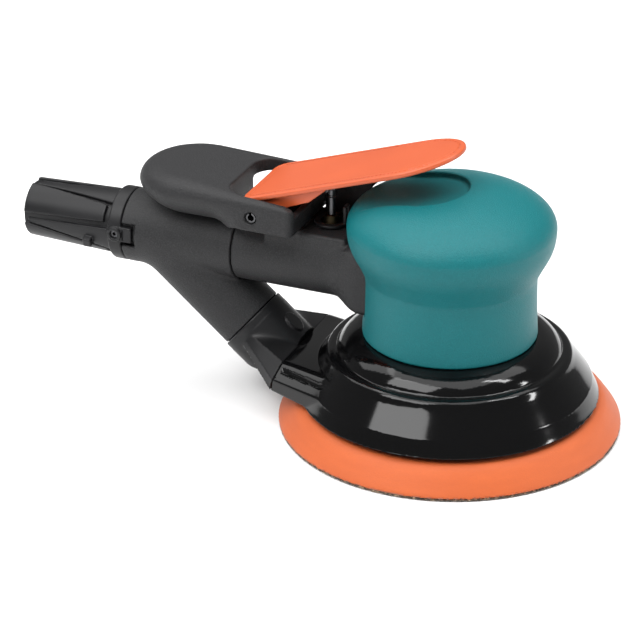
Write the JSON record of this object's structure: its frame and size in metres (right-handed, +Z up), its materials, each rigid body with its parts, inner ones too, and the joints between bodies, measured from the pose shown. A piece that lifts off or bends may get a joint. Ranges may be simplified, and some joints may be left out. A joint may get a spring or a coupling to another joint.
{
  "type": "orbital sander",
  "caption": "Air-powered palm orbital sander: round foam pad on an eccentric crank, domed rubber grip, throttle lever over a side handle, palm rest and dust duct to a hose adapter.",
  "frame": {"origin": "motor axis at the sanding face of the pad", "axes": "+Z up the motor axis, -X along the handle towards the hose adapter, Y across"},
  "size_m": [0.2331, 0.127, 0.1099],
  "materials": {
    "teal_rubber": "fine matte texture",
    "black_nylon": "speckled matte",
    "smooth_nylon": "satin",
    "gloss_shroud": "high gloss",
    "orange_lever": "satin paint",
    "orange_foam": "fine closed-cell foam",
    "hook_fabric": "short loop pile",
    "pad_board": "glass-filled",
    "steel": "machined",
    "bearing_steel": "ground",
    "dark_steel": "phosphate",
    "plated_alloy": "machined",
    "brass": "machined",
    "seal_rubber": "smooth",
    "felt": "felt",
    "vane_resin": "resin-bonded fabric"
  },
  "bodies": {
    "housing": {"lower_bearing_outer": "bearing_steel", "motor_cylinder": "steel", "lower_end_plate": "plated_alloy", "upper_end_plate": "plated_alloy", "upper_bearing_outer": "bearing_steel", "locating_pin": "steel", "motor_o_ring": "seal_rubber", "lock_ring": "plated_alloy", "motor_housing": "black_nylon", "grip": "teal_rubber", "shroud": "gloss_shroud", "valve_bushing": "brass", "stem_seal": "seal_rubber", "valve_seat": "seal_rubber", "valve_spring": "steel", "inlet_bushing": "steel", "inlet_screen": "brass", "palm_rest": "black_nylon", "lever_pin": "steel", "y_body": "black_nylon", "exhaust_elbow": "smooth_nylon", "elbow_seal": "seal_rubber", "hose_adapter": "smooth_nylon", "adapter_screw": "dark_steel", "muffler_felt": "felt"},
    "crank": {"shaft_balancer": "dark_steel", "spindle_bearing_outer": "bearing_steel", "spindle_retaining_ring": "dark_steel", "lower_bearing_inner": "bearing_steel", "lower_bearing_balls": "bearing_steel", "upper_bearing_inner": "bearing_steel", "upper_bearing_balls": "bearing_steel", "shaft_retaining_ring": "dark_steel", "rotor": "plated_alloy", "vanes": "vane_resin", "rotor_key": "steel"},
    "pad": {"hook_face": "hook_fabric", "foam_pad": "orange_foam", "pad_plate": "pad_board", "pad_stud": "steel", "spindle": "steel", "spindle_washer": "dark_steel", "spindle_screw": "dark_steel", "spindle_bearing_inner": "bearing_steel", "spindle_bearing_balls": "bearing_steel"},
    "lever": {"lever": "orange_lever"},
    "stem": {"valve_stem": "steel"},
    "tip_valve": {"tip_valve": "steel"},
    "regulator": {"speed_regulator": "smooth_nylon"}
  },
  "joints": [
    {"name": "crank_spin", "type": "hinge", "parent": "housing", "child": "crank", "pos_m": [0, 0, 0.0444], "axis": [0, 0, 1], "continuous": true},
    {"name": "pad_spin", "type": "hinge", "parent": "crank", "child": "pad", "pos_m": [0, 0.0012, 0.0174], "axis": [0, 0, 1], "continuous": true},
    {"name": "lever_press", "type": "hinge", "parent": "housing", "child": "lever", "pos_m": [-0.0702, 0, 0.0783], "axis": [0, 1, 0], "range_deg": [0, 9.5], "stiffness_Nm_per_rad": 0.6, "springref_deg": -20.05},
    {"name": "stem_slide", "type": "slide", "parent": "housing", "child": "stem", "axis": [0, 0, -1], "range_m": [0, 0.0042]},
    {"name": "tip_valve_tilt", "type": "hinge", "parent": "housing", "child": "tip_valve", "pos_m": [-0.0633, 0, 0.0619], "axis": [0, 1, 0], "range_deg": [0, 14.5], "deforming": ["valve_spring"]},
    {"name": "regulator_turn", "type": "hinge", "parent": "housing", "child": "regulator", "pos_m": [-0.047, 0, 0.0731], "axis": [0, 0, 1], "range_deg": [-60, 60]}
  ],
  "couplings": [
    {"joint": "stem_slide", "follows": "lever_press", "m_per_rad": 0.0243},
    {"joint": "tip_valve_tilt", "follows": "lever_press", "ratio": 1.5}
  ]
}
